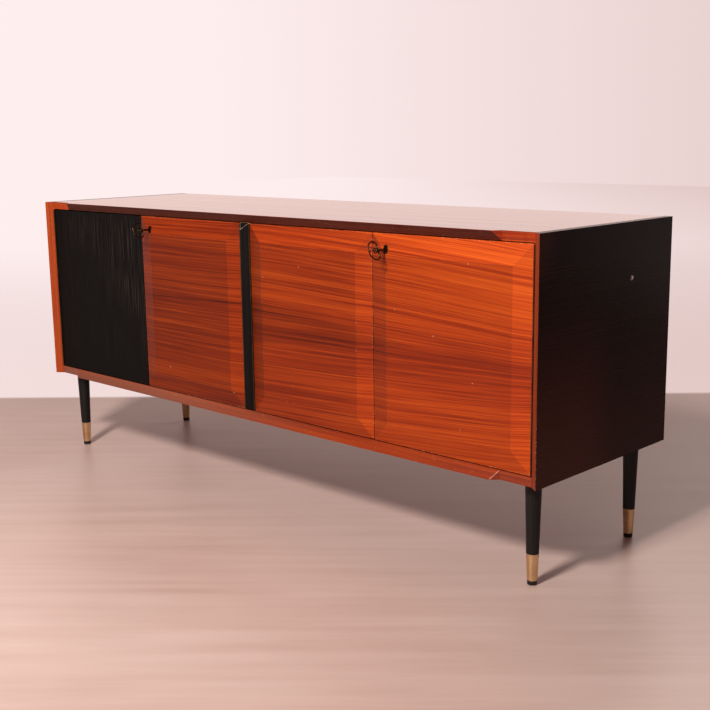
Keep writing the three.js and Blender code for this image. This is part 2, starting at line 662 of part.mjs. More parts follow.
/** The arm, parked over its rest: a tube with a counterweight behind and a headshell in front. */
function toneArm() {
  const { x, y, z } = ARM_PIVOT;
  const stylusY = y - ARM_LENGTH;
  const shellY = HEADSHELL.reach.map((reach) => stylusY + reach);
  const shellZ = HEADSHELL.z.map((height) => z + height);
  const weightY = COUNTERWEIGHT.behind.map((distance) => y + distance);
  const tube = rodY(ARM.tubeRadius, [shellY[1] - 6, y + ARM.behind], x, z, 12);
  const weight = rodY(COUNTERWEIGHT.radius, weightY, x, z, 20);
  const shell = block([x - HEADSHELL.halfWidth, x + HEADSHELL.halfWidth], shellY, shellZ);
  const stylus = block(
    [x - STYLUS.halfWidth, x + STYLUS.halfWidth],
    [stylusY - STYLUS.halfWidth, stylusY + STYLUS.halfWidth],
    STYLUS.z.map((height) => z + height),
  );
  return join(tube, weight, shell, stylus);
}

function addPlayer() {
  add('player_plate', playerPlate(), CREAM_PAINT);
  add('platter', platterSolid(), STEEL);
  add('tonearm_swivel', armSwivel(), DARK_METAL);
  add('tonearm', toneArm(), IVORY_PLASTIC);
}

// ---------- loudspeaker ----------

const SPEAKER = { x: -650, z: 484, hole: 82, rim: 100, flange: 3 };
const BAFFLE_Y = [70, 82];
const CONE = { capRadius: 14, cap: 32, neckRadius: 20, neck: 40, edgeRadius: 77, edge: 6 };
const MAGNET = { radius: 46, from: 62, to: 92 };

/** Cone, basket and magnet in one, from the front of the rim backwards. */
function loudspeakerSolid() {
  const front = BAFFLE_Y[1] + GAP;
  return turnedAlongY([
    [0, CONE.cap],
    [CONE.capRadius, CONE.cap + 3],
    [CONE.neckRadius, CONE.neck],
    [CONE.edgeRadius, CONE.edge],
    [SPEAKER.hole, 0],
    [SPEAKER.rim, 0],
    [SPEAKER.rim, SPEAKER.flange],
    [SPEAKER.hole, SPEAKER.flange + 2],
    [MAGNET.radius + 4, MAGNET.from],
    [MAGNET.radius, MAGNET.from],
    [MAGNET.radius, MAGNET.to],
    [0, MAGNET.to],
  ], 40).translate(SPEAKER.x, front, SPEAKER.z);
}

function addLoudspeaker() {
  const baffleX = [-INNER + GAP, BAY_WALL_X[0] - GAP];
  const opening = rodY(SPEAKER.hole, [BAFFLE_Y[0] - 1, BAFFLE_Y[1] + 1], SPEAKER.x, SPEAKER.z, 40);
  add('speaker_baffle', cut(block(baffleX, BAFFLE_Y, BOARD_Z), opening), BLACK_WOOD);
  add('loudspeaker', loudspeakerSolid(), PAPER_CONE);
}

addOuterBox();
addInnerBoards();
FEET.forEach(addLeg);
addDoors();
addRadio();
addPlayer();
addLoudspeaker();

export default cabinet;
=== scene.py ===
import json
import math

import bmesh
import bpy
from mathutils import Matrix, Vector


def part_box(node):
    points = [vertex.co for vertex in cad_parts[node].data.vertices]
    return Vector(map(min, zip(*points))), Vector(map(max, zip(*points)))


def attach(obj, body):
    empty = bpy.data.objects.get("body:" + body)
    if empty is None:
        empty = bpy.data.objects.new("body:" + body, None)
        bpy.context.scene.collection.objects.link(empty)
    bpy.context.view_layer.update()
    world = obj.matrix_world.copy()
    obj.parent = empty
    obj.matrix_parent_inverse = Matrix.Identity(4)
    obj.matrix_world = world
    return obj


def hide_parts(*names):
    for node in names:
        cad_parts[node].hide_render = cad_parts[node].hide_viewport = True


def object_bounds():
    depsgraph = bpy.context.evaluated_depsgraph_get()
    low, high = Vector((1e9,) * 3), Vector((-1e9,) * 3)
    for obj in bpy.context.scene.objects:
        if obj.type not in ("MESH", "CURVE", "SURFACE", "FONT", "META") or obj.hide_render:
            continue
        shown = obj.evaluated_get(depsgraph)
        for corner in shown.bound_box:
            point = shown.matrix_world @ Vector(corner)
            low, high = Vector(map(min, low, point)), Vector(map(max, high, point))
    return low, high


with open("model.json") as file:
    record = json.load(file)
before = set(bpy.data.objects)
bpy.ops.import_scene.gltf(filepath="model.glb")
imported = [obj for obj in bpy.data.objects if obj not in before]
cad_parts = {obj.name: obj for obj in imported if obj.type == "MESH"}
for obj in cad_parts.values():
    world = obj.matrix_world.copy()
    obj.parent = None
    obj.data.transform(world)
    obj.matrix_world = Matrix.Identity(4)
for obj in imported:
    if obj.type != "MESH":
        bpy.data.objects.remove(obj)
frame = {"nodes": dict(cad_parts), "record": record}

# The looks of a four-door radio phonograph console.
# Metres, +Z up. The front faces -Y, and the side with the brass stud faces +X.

CAD_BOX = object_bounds()
MM = 0.001
ALONG_X = (1, 0, 0)
ALONG_Y = (0, 1, 0)
ALONG_Z = (0, 0, 1)
nodes = frame["nodes"]


def add_to_scene(name, data):
    """A new object that carries a mesh, a light or a camera."""
    thing = bpy.data.objects.new(name, data)
    bpy.context.scene.collection.objects.link(thing)
    return thing


# ---------- node materials ----------

def colour(code):
    """Linear RGBA from an sRGB code such as '#a8421c'."""
    channels = [int(code[start:start + 2], 16) / 255 for start in (1, 3, 5)]
    linear = [c / 12.92 if c <= 0.04045 else ((c + 0.055) / 1.055) ** 2.4 for c in channels]
    return (*linear, 1.0)


def feed(tree, value, socket):
    """Gives a socket a field, a node's output, a colour code or a constant."""
    if isinstance(value, str):
        value = colour(value)
    if isinstance(value, Field):
        value = value.socket
    if isinstance(value, bpy.types.NodeSocket):
        tree.links.new(value, socket)
    else:
        socket.default_value = value


def new_node(tree, kind, *values):
    """A new shader node, with its first sockets fed with the values."""
    node = tree.nodes.new(f"ShaderNode{kind}")
    for socket, value in zip(node.inputs, values):
        feed(tree, value, socket)
    return node


def mixed(tree, share, first, second, blend="MIX"):
    """The first colour where share is 0, going to the second where it is 1."""
    node = new_node(tree, "Mix")
    node.data_type = "RGBA"
    node.blend_type = blend
    for index, value in ((0, share), (6, first), (7, second)):
        feed(tree, value, node.inputs[index])
    return node.outputs[2]


def math_node(operation, flipped=False):
    """A method of a field, which feeds the field and the other values to a math node."""
    def method(field, *others):
        values = (*others, field) if flipped else (field, *others)
        node = new_node(field.tree, "Math", *values)
        node.operation = operation
        return Field(field.tree, node.outputs[0])

    return method


class Field:
    """A number that varies over a surface. It is a node's output, with ordinary arithmetic."""

    def __init__(self, tree, socket):
        self.tree = tree
        self.socket = socket

    __add__ = __radd__ = math_node("ADD")
    __sub__ = math_node("SUBTRACT")
    __rsub__ = math_node("SUBTRACT", flipped=True)
    __mul__ = __rmul__ = math_node("MULTIPLY")
    abs = math_node("ABSOLUTE")
    min = math_node("MINIMUM")
    max = math_node("MAXIMUM")
    fract = math_node("FRACT")
    levelled = math_node("TANH")  # like the field near 0, levelling off at -1 and 1

    def ramp(self, start, end, low=0.0, high=1.0):
        """Goes smoothly from low to high while this field goes from start to end."""
        node = new_node(self.tree, "MapRange", self, start, end, low, high)
        node.interpolation_type = "SMOOTHSTEP"
        return Field(self.tree, node.outputs[0])

    def fall(self, start, end):
        """Goes smoothly from 1 down to 0 while this field goes from start to end."""
        return self.ramp(start, end, 1.0, 0.0)


class Surface:
    """A node material. Its coordinates are those of the piece at rest, in metres."""

    def __init__(self, name, **values):
        self.material = bpy.data.materials.new(name)
        self.material.use_nodes = True
        self.tree = self.material.node_tree
        self.shader = self.tree.nodes["Principled BSDF"]
        for socket, value in values.items():
            self.shader.inputs[socket.replace("_", " ")].default_value = value
        coordinates = new_node(self.tree, "TexCoord")
        self.x, self.y, self.z = self.split(coordinates.outputs["Object"])
        self.facing_x, self.facing_y, self.facing_z = self.split(coordinates.outputs["Normal"])

    def connect(self, socket, value):
        """Feeds one input of the shader."""
        feed(self.tree, value, self.shader.inputs[socket])

    def split(self, vector):
        node = new_node(self.tree, "SeparateXYZ", vector)
        return [Field(self.tree, output) for output in node.outputs]

    def noise(self, a, b, c=0.0, detail=2.0, roughness=0.5):
        """Smooth noise over a, b and c, mostly from 0.3 to 0.7."""
        joined = new_node(self.tree, "CombineXYZ", a, b, c)
        scale = 1.0
        node = new_node(self.tree, "TexNoise", joined.outputs[0], 0.0, scale, detail, roughness)
        return Field(self.tree, node.outputs["Fac"])

    def even_noise(self, scale, detail=2.0, roughness=0.5):
        return self.noise(self.x * scale, self.y * scale, self.z * scale, detail, roughness)

    def tones(self, field, *stops):
        """A colour for each value of the field: stops are (value, colour code)."""
        node = new_node(self.tree, "ValToRGB", field)
        elements = node.color_ramp.elements
        while len(elements) < len(stops):
            elements.new(0.5)
        for element, (position, code) in zip(elements, stops):
            element.position = position
            element.color = colour(code)
        return node.outputs[0]

    def mix(self, share, first, second):
        return mixed(self.tree, share, first, second)

    def darker(self, base, tone):
        """The base colour with each channel multiplied by tone."""
        grey = new_node(self.tree, "CombineColor", tone, tone, tone)
        return mixed(self.tree, 1.0, base, grey.outputs[0], "MULTIPLY")

    def base(self, value):
        self.connect("Base Color", value)

    def roughness(self, value):
        self.connect("Roughness", value)

    def bump(self, height, depth):
        """Relief, whose height field spans depth millimetres."""
        node = new_node(self.tree, "Bump", 1.0, depth * MM)
        feed(self.tree, height, node.inputs["Height"])
        self.connect("Normal", node.outputs[0])


# ---------- wood ----------

def grain(surface, along, across, seed):
    """Nearly straight grain: the waved position across it, then bands, streaks, hairs and pores."""
    wavy = across + 0.008 * surface.noise(along * 2.2, across * 5.0, seed, 2)
    bands = surface.noise(along * 0.5, wavy * 26.0, seed + 1.3, 2, 0.5)
    streaks = surface.noise(along * 1.3, wavy * 210.0, seed + 2.7, 3, 0.65)
    fine = surface.noise(along * 5.0, wavy * 720.0, seed + 4.1, 2, 0.6)
    pores = surface.noise(along * 70.0, wavy * 1900.0, seed + 5.9, 1)
    return wavy, bands, streaks, fine, pores


def dark_lines(surface, along, across, seed, per_metre, width):
    """Thin dark growth lines, unevenly spaced and uneven in strength: 1 on a line, 0 off it."""
    place = across * per_metre + 1.1 * surface.noise(along * 0.5, across * 9.0, seed, 1)
    off = (place.fract() - 0.5).abs()
    strength = surface.noise(along * 1.2, across * 17.0, seed + 7.7, 2).ramp(0.4, 0.62)
    return off.fall(0.0, width * per_metre) * strength


BEVEL_WIDTH = 45 * MM  # round the raised field of a red door
BEVEL_RISE = 8 * MM
BEVEL_SLOPE = BEVEL_RISE / BEVEL_WIDTH
FIGURE_HEIGHT = 479 * MM  # the fan of the right pair's grain closes at this height
FIGURE_SHIFT = 52 * MM  # how far its lines have closed in at the far end
FIGURE_TIP = 587 * MM  # x of the tip of the dark feather in the middle of the fan
FEATHER_SPREAD = 0.1  # the feather's half height for each metre from its tip
PAIR_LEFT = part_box("door_inner_right")[0].x
PAIR_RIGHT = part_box("door_far_right")[1].x
LIP_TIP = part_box("bottom_panel")[0].y
LIP_END = CAD_BOX[1].x - 115 * MM  # x where the tip of a lip ends on the right
MITRE = LIP_END - LIP_TIP  # x - y along the 45 degree cut there
LOW_LIP_TOP = (260 * MM, 270 * MM)  # the bottom lip fades out between these heights


def rosewood_tones(surface, share):
    """Red-brown rosewood. share runs from its dark streaks to its light ones."""
    return surface.tones(
        share, (0.28, "#5a1a07"), (0.42, "#892a0a"), (0.5, "#a63a0c"), (0.58, "#bc4a0f"), (0.72, "#d05f18"))


def pair_glow(wood, way):
    """Painted light on the right pair's veneer: it is made lighter at its top right and bottom than in its
    middle.

    way goes from 0 at the pair's left edge to 1 at its right edge."""
    high = wood.z.ramp(0.5, 0.62) * way.ramp(0.3, 1.0) * 0.065
    middle_band = (wood.z - 0.467).abs().fall(0.03, 0.1) * (0.03 + 0.03 * way)
    low = wood.z.fall(0.28, 0.42) * way.ramp(0.2, 0.5) * 0.06
    return high - middle_band + low


def bevel_light(wood, fanned):
    """Painted light and shade on a door's bevels: how much lighter or darker they are than its field, by the
    way each bevel faces.
    """
    left_limit = -BEVEL_SLOPE if fanned else 0.0
    sideways = wood.facing_x.max(left_limit).min(BEVEL_SLOPE) * 1.1
    return sideways + wood.facing_z.max(0.0).min(BEVEL_SLOPE) * 1.75


def door_wear(wood, node):
    """Where the lacquer is chipped: along the rim of a door and the edges of its raised field."""
    low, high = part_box(node)
    across = (wood.x - low.x).min(high.x - wood.x)
    from_edge = across.min((wood.z - low.z).min(high.z - wood.z))
    chips = wood.even_noise(260.0, 2)
    arris = (from_edge - BEVEL_WIDTH).abs().fall(0.4 * MM, 1.1 * MM)
    rim = from_edge.fall(0.8 * MM, 2.0 * MM)
    worn = (arris * chips.ramp(0.64, 0.7)).max(rim * chips.ramp(0.56, 0.64))
    return worn * wood.facing_y.fall(-0.9, -0.6)


def door_wood(name, node, seed, fanned, depth):
    """Red-brown veneer with its grain lying across the door. A smaller depth makes it darker: painted shade,
    which grows on the doors further left.
    """
    wood = Surface(name, Metallic=0.25, Specular_IOR_Level=0.25, Coat_Weight=0.06, Coat_Roughness=0.3)
    across = wood.z
    feather = 0.0
    # painted light: the left door is made slightly darker, and the right pair lighter at its top right and
    # bottom
    painted_light = -0.025
    if fanned:
        way = (wood.x - PAIR_LEFT) * (1 / (PAIR_RIGHT - PAIR_LEFT))
        above = wood.z - FIGURE_HEIGHT
        painted_light = pair_glow(wood, way)
        closing = way * (0.35 + 0.65 * way)
        across = wood.z + FIGURE_SHIFT * closing * (above * (1 / 0.06)).levelled()
        feather = (FEATHER_SPREAD * (FIGURE_TIP - wood.x) - above.abs()).ramp(0.0, 4 * MM) * 0.16
    wavy, bands, streaks, fine, pores = grain(wood, wood.x, across, seed)
    lines = dark_lines(wood, wood.x, wavy, seed, 17.0, 1.4 * MM)
    hairs = dark_lines(wood, wood.x, wavy, seed + 3.0, 68.0, 1.2 * MM)
    share = bands * 0.2 + streaks * 0.52 + fine * 0.36 - 0.04
    gathered = (wood.z - FIGURE_HEIGHT).abs().ramp(0.1, 0.16, 1.0, 0.35)
    # depth is painted shade: it darkens the whole door, more on the doors further left
    light = depth - feather - lines * gathered * 0.5 - hairs * gathered * 0.3
    # the bevels' painted light and shade are added to the door's tone
    light = light - pores.ramp(0.62, 0.75) * 0.12 + bevel_light(wood, fanned)
    tone = wood.darker(rosewood_tones(wood, share + painted_light), light)
    worn = door_wear(wood, node)
    nicks = wood.even_noise(110.0, 0).ramp(0.9, 0.92)
    wood.base(wood.mix(worn.max(nicks) * 0.7, tone, "#dca884"))
    wood.roughness(0.42 + 0.14 * streaks + 0.1 * worn)
    wood.bump(fine * 0.5 + streaks * 0.3 - lines * 0.3 - pores * 0.2, 0.12)
    return wood.material


def carcass_outside(wood, streaks, bands, tones, flat):
    """The dark veneer. The sides turn redder low down and towards the front."""
    dark = wood.tones(bands * 0.5 + streaks * 0.5, *zip((0.35, 0.5, 0.65), tones))
    if not flat:
        front_top = wood.z.ramp(0.6, 0.73) * wood.y.ramp(-0.25, -0.12, 0.7, 0.0)
        low_front = wood.z.ramp(0.25, 0.66, 1.0, 0.1) * wood.y.ramp(-0.1, 0.1, 1.0, 0.35)
        dark = wood.mix(low_front.max(front_top), dark, "#48241e")
    return wood.darker(dark, wood.facing_y.ramp(0.4, 0.6, 1.0, 0.5))


def carcass_front(wood, seed, edge_depth, flat):
    """The red-brown front edges, with painted shade on the faces that look down under a lip, less of it
    towards the right of the top lip. The bottom lip is paler at its left end: dust and a painted sheen.
    """
    _, bands, streaks, fine, _ = grain(wood, *((wood.x, wood.z) if flat else (wood.z, wood.x)), seed)
    red = rosewood_tones(wood, bands * 0.4 + streaks * 0.5 + fine * 0.2 - 0.07)
    if flat:
        # dust and a painted sheen on the bottom lip's left end
        dust_and_sheen = wood.z.fall(*LOW_LIP_TOP) * wood.x.ramp(-0.45, 0.4, 0.46, 0.0)
        red = wood.mix(dust_and_sheen, red, "#c0836a")
    else:
        red = wood.mix(0.12, wood.darker(red, wood.x.ramp(0.84, 0.86, 1.0, 0.72)), "#8a6a5c")
    # painted shade: faces that look down are darkened, and less so towards the top lip's right end
    top_right = wood.x.ramp(0.0, 0.75) * wood.z.ramp(0.5, 0.6) * wood.facing_z.fall(-0.1, 0.0)
    undercut_painted_shade = wood.facing_z.ramp(-0.5, -0.4, 0.2, edge_depth)
    return wood.darker(red, undercut_painted_shade * (1.0 + 0.4 * top_right))


def carcass_wear(wood, front):
    """Rubbed corners low down, chips on the front edges and a worn line at the right mitre."""
    chips = wood.even_noise(300.0, 2)
    near_corner = (CAD_BOX[1].x - wood.x.abs()).max(wood.y - LIP_TIP)
    corners = near_corner.fall(1.0 * MM, 2.5 * MM) * chips.ramp(0.55, 0.6)
    corners = corners * wood.z.fall(0.3, 0.42)
    cut = (wood.x - wood.y - MITRE).abs().fall(0.8 * MM, 2.0 * MM) * chips.ramp(0.4, 0.5)
    low_lip = wood.z.fall(*LOW_LIP_TOP) * front * wood.facing_z.abs().ramp(0.25, 0.35)
    return corners.max(front * chips.ramp(0.68, 0.74) * 0.4).max(cut * low_lip * 0.8)


def carcass_wood(name, along_axis, outer, seed, shine, edge_depth, coats=(0.0, 0.0)):
    """Panels of the outer box: dark veneer outside, and the doors' red-brown on the front edges.

    coats are the weights of the clear coat outside and on the front."""
    wood = Surface(name, Specular_IOR_Level=shine, Coat_Roughness=0.06)
    flat = along_axis == "x"
    _, bands, streaks, fine, pores = grain(wood, *((wood.x, wood.y) if flat else (wood.y, wood.z)), seed)
    dark = carcass_outside(wood, streaks, bands, outer, flat)
    red = carcass_front(wood, seed + 9.0, edge_depth, flat)
    front = wood.facing_y.fall(-0.35, -0.25)
    tone = wood.darker(wood.mix(front, dark, red), 1.0 - pores.ramp(0.6, 0.75) * 0.15)
    wood.base(wood.mix(carcass_wear(wood, front) * 0.8, tone, "#e3bea0"))
    wood.roughness(0.22 + 0.1 * streaks + 0.14 * front)
    wood.connect("Coat Weight", coats[0] + (coats[1] - coats[0]) * front)
    wood.bump(fine * 0.6 + streaks * 0.4 - pores * 0.2, 0.06)
    return wood.material


def black_wood(name, shine=0.13, hip_top=None):
    """Black-stained wood under satin lacquer, with upright grain in fine raised lines.

    hip_top is the height up to which pale broken lines run along the divider's hips."""
    wood = Surface(name, Specular_IOR_Level=shine)
    wavy, _, streaks, fine, _ = grain(wood, wood.z * 2.2, wood.x, 31.0)
    rings = dark_lines(wood, wood.z * 2.0, wavy + wood.y * 0.4, 33.0, 105.0, 1.6 * MM)
    tone = wood.tones(streaks * 0.6 + fine * 0.4, (0.35, "#070606"), (0.55, "#100e0d"), (0.8, "#1d1a18"))
    tone = wood.mix(rings * 0.35, tone, "#2c2826")
    if hip_top:
        off_hip = (hip_top - wood.z - half_width("divider_ridge") * MM + wood.x.abs()).abs()
        chips = wood.even_noise(300.0, 2).ramp(0.4, 0.5)
        tone = wood.mix(off_hip.fall(0.5 * MM, 1.3 * MM) * chips * 0.7, tone, "#b9a594")
    wood.base(tone)
    wood.roughness(0.46 + 0.2 * streaks - rings * 0.12)
    wood.bump(rings * 0.7 + fine * 0.3, 0.2)
    return wood.material


def ribbed_black(name, node):
    """The flat black door: close upright ribs of grain, with a painted highlight on them that grows towards
    its upper right.
    """
    low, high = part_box(node)
    wood = Surface(name, Specular_IOR_Level=0.1)
    wavy = wood.x + 0.8 * MM * wood.noise(wood.z * 5.0, wood.x * 20.0, 41.0, 2)
    ribs = wood.noise(wavy * 420.0, wood.z * 7.0, 42.0, 1)
    hairs = wood.noise(wavy * 1500.0, wood.z * 12.0, 43.0, 2)
    # painted highlight: how strongly the ribs are lit, rising towards the upper right
    lit = ((wood.x - low.x) + 1.1 * (wood.z - high.z)).ramp(0.0, 0.13)
    tone = wood.tones(hairs * 0.5 + ribs * 0.5, (0.35, "#080706"), (0.6, "#12100f"))
    light_ribs = ribs.ramp(0.54, 0.7) * (0.12 + 0.88 * lit)
    wood.base(wood.mix(light_ribs * 0.8, tone, "#3d3734"))
    wood.roughness(0.5 + 0.2 * hairs)
    wood.bump(ribs * 0.8 + hairs * 0.2, 0.12)
    return wood.material


def plain_wood(name, along_axis):
    """Oiled boards inside the cabinet."""
    wood = Surface(name, Coat_Weight=0.1, Coat_Roughness=0.4)
    along, across = {"x": (wood.x, wood.y + wood.z), "z": (wood.z, wood.y + wood.x)}[along_axis]
    wavy, bands, streaks, fine, pores = grain(wood, along, across, 51.0)
    lines = dark_lines(wood, along, wavy, 52.0, 30.0, 2 * MM)
    share = bands * 0.5 + streaks * 0.3 + fine * 0.2
    tone = wood.tones(share, (0.3, "#8a5a34"), (0.5, "#b07c4c"), (0.7, "#c99764"))
    wood.base(wood.darker(tone, 1.0 - lines * 0.25 - pores.ramp(0.6, 0.75) * 0.2))
    wood.roughness(0.5 + 0.25 * fine)
    wood.bump(fine + streaks * 0.5, 0.15)
    return wood.material


def hardboard():
    """Pressed fibre board: matted short fibres and a few scuffs."""
    board = Surface("hardboard_back")
    fibres = board.noise(board.x * 900.0, board.z * 500.0, board.y * 900.0, 4, 0.7)
    patches = board.even_noise(9.0, 3, 0.6)
    share = fibres * 0.75 + patches * 0.25
    board.base(board.tones(share, (0.35, "#4a3220"), (0.5, "#6d4d33"), (0.68, "#8a6746")))
    board.roughness(0.78 + 0.2 * fibres)
    board.bump(fibres, 0.2)
    return board.material


# ---------- metal, plastic, glass ----------

def metal(name, dark, light, rough=0.3, scale=60.0):
    """Worn metal, clouded between a dark and a light tone, with fine marks all over."""
    finish = Surface(name, Metallic=1.0)
    clouds = finish.even_noise(scale, 4, 0.6)
    marks = finish.even_noise(scale * 12, 2)
    finish.base(finish.tones(clouds * 0.75 + marks * 0.25, (0.36, dark), (0.62, light)))
    finish.roughness(rough + 0.22 * clouds + 0.12 * marks - 0.16)
    finish.bump(marks * 0.6 + clouds * 0.4, 0.06)
    return finish.material


def plastic(name, code, worn, rough=0.3, coat=0.2):
    """Moulded plastic with faint mottling, rubbed where hands and dust have been."""
    finish = Surface(name, Coat_Weight=coat, Coat_Roughness=0.15)
    clouds = finish.even_noise(35.0, 3, 0.6)
    specks = finish.even_noise(900.0, 2)
    finish.base(finish.mix(clouds.ramp(0.35, 0.75) * 0.6, code, worn))
    finish.roughness(rough + 0.2 * clouds + 0.08 * specks - 0.12)
    finish.bump(specks * 0.5 + clouds * 0.5, 0.05)
    return finish.material


def clear_glass():
    glass = Surface("clear_dial_glass", Transmission_Weight=0.92, IOR=1.45)
    smears = glass.even_noise(20.0, 3)
    glass.base(glass.mix(smears, "#eef5f0", "#dfe9e3"))
    glass.roughness(0.02 + 0.05 * smears)
    return glass.material


def paper():
    """Grey-black pressed paper, ribbed by its own geometry."""
    sheet = Surface("cone_paper")
    fibres = sheet.even_noise(700.0, 4, 0.7)
    sheet.base(sheet.tones(fibres, (0.35, "#1f1c1a"), (0.65, "#3c3733")))
    sheet.roughness(0.8 + 0.15 * fibres)
    sheet.bump(fibres, 0.2)
    return sheet.material


# ---------- pieces ----------

def dress(material, *members):
    """Gives CAD nodes their finish."""
    for node in members:
        slots = nodes[node].data.materials
        slots.clear()
        slots.append(material)


def soften(node, width):
    """Eases a CAD node's sharp edges, so that they catch the light."""
    piece = nodes[node]
    weld = piece.modifiers.new("weld", "WELD")
    weld.merge_threshold = 1e-6
    flat = piece.modifiers.new("flat_faces", "DECIMATE")
    flat.decimate_type = "DISSOLVE"
    flat.angle_limit = math.radians(1.5)
    bevel = piece.modifiers.new("eased_edges", "BEVEL")
    bevel.width = width
    bevel.segments = 2
    bevel.limit_method = "ANGLE"
    bevel.angle_limit = math.radians(20)
    bevel.harden_normals = True


SIDES = ("side_panel_left", "side_panel_right")
BODIES = {
    node: body for body, members in frame["record"]["behaviour"]["bodies"].items() for node in members}


def make(name, build, material, like, stands_for=(), smooth=True):
    """A new piece from a bmesh that build fills in millimetres.

    It rides like a CAD node, and the CAD nodes it stands for are hidden."""
    shape = bmesh.new()
    build(shape)
    bmesh.ops.scale(shape, vec=(MM, MM, MM), verts=shape.verts)
    bmesh.ops.recalc_face_normals(shape, faces=shape.faces)
    mesh = bpy.data.meshes.new(name)
    shape.to_mesh(mesh)
    shape.free()
    for face in mesh.polygons:
        face.use_smooth = smooth
    piece = add_to_scene(name, mesh)
    mesh.materials.append(material)
    if smooth:
        split = piece.modifiers.new("crisp_edges", "EDGE_SPLIT")
        split.split_angle = math.radians(35)
    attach(piece, BODIES[like])
    if stands_for:
        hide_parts(*stands_for)


def frame_about(centre, axis):
    """A matrix that takes local +Z to the axis and the local origin to the centre."""
    turn = Vector((0, 0, 1)).rotation_difference(Vector(axis)).to_matrix().to_4x4()
    return Matrix.Translation(centre) @ turn


def turns(steps):
    """The angles of that many even steps round a circle."""
    return [2 * math.pi * step / steps for step in range(steps)]


def polar(radius, angle):
    return radius * math.cos(angle), radius * math.sin(angle)


def spread(low, high, count):
    """That many places spread evenly from low to high."""
    return [low + (high - low) * index / (count - 1) for index in range(count)]


def skin(shape, rings, closed=False):
    """Faces between each ring of vertices and the next, and if closed from the last to the first."""
    followers = rings[1:] + rings[:1] if closed else rings[1:]
    for here, there in zip(rings, followers):
        for step in range(max(len(here), len(there))):
            corners = (
                here[step % len(here)], here[(step + 1) % len(here)],
                there[(step + 1) % len(there)], there[step % len(there)])
            face = list(dict.fromkeys(corners))
            if len(face) > 2:
                shape.faces.new(face)


def add_turned(shape, profile, centre, axis=ALONG_Z, sides=64, flutes=0):
    """A closed solid of revolution. The profile's (radius, height) points go from axis to axis.

    A point's third value, if any, is how deep the flutes are there."""
    place = frame_about(Vector(centre), axis)
    rings = []
    for radius, height, *hollows in profile:
        ring = []
        for angle in turns(sides) if radius else [0.0]:
            reach = radius - sum(hollows) * (0.5 + 0.5 * math.cos(flutes * angle))
            ring.append(shape.verts.new(place @ Vector((*polar(reach, angle), height))))
        rings.append(ring)
    skin(shape, rings)


def add_ring(shape, profile, centre, sides=64):
    """A solid of revolution about an upright axis, whose profile is a closed loop off the axis."""
    rings = []
    for angle in turns(sides):
        rings.append([
            shape.verts.new(centre + Vector((*polar(radius, angle), height))) for radius, height in profile])
    skin(shape, rings, closed=True)


def add_tube(shape, path, radii, closed=False, sides=16):
    """A round wire along a path of points. radii is one radius or one for each point."""
    count = len(path)
    if not hasattr(radii, "__len__"):
        radii = [radii] * count
    rings = []
    side = None
    for index, point in enumerate(path):
        before = path[index - 1] if closed or index else path[0]
        after = path[(index + 1) % count] if closed or index < count - 1 else path[-1]
        ahead = (after - before).normalized()
        if side is None:
            side = ahead.orthogonal().normalized()
        side = (side - ahead * side.dot(ahead)).normalized()
        other = ahead.cross(side)
        rings.append([
            shape.verts.new(point + side * a + other * b)
            for a, b in (polar(radii[index], angle) for angle in turns(sides))])
    skin(shape, rings, closed)
    if not closed:
        shape.faces.new(reversed(rings[0]))
        shape.faces.new(rings[-1])


def add_block(shape, low, high, ease=0.0):
    """A box with eased edges."""
    low, high = Vector(low), Vector(high)
    place = Matrix.Translation((low + high) / 2) @ Matrix.Diagonal((*(high - low), 1))
    made = bmesh.ops.create_cube(shape, size=1, matrix=place)
    if ease:
        edges = list({edge for vertex in made["verts"] for edge in vertex.link_edges})
        bmesh.ops.bevel(shape, geom=edges, offset=ease, segments=3, profile=0.5, affect="EDGES")


def add_prism(shape, points, depth):
    """A solid from an outline of 3-D points, with depth for its thickness and direction."""
    near = [shape.verts.new(point) for point in points]
    far = [shape.verts.new(point + depth) for point in points]
    shape.faces.new(near)
    shape.faces.new(reversed(far))
    skin(shape, [near, far])


def make_turned(name, profile, centre, axis, material, like, stands_for=(), sides=64, flutes=0):
    """A new piece that is one solid of revolution."""
    make(name, lambda shape: add_turned(shape, profile, centre, axis, sides, flutes), material, like,
         stands_for)


def box(node):
    """The low and high corners of a CAD node, in millimetres like all the new pieces."""
    low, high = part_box(node)
    return low / MM, high / MM


def half_width(node):
    low, high = box(node)
    return (high.x - low.x) / 2


def middle(node):
    low, high = box(node)
    return (low + high) / 2


# ---------- legs ----------

CORNERS = [f"{end}_{side}" for end in ("front", "back") for side in ("left", "right")]


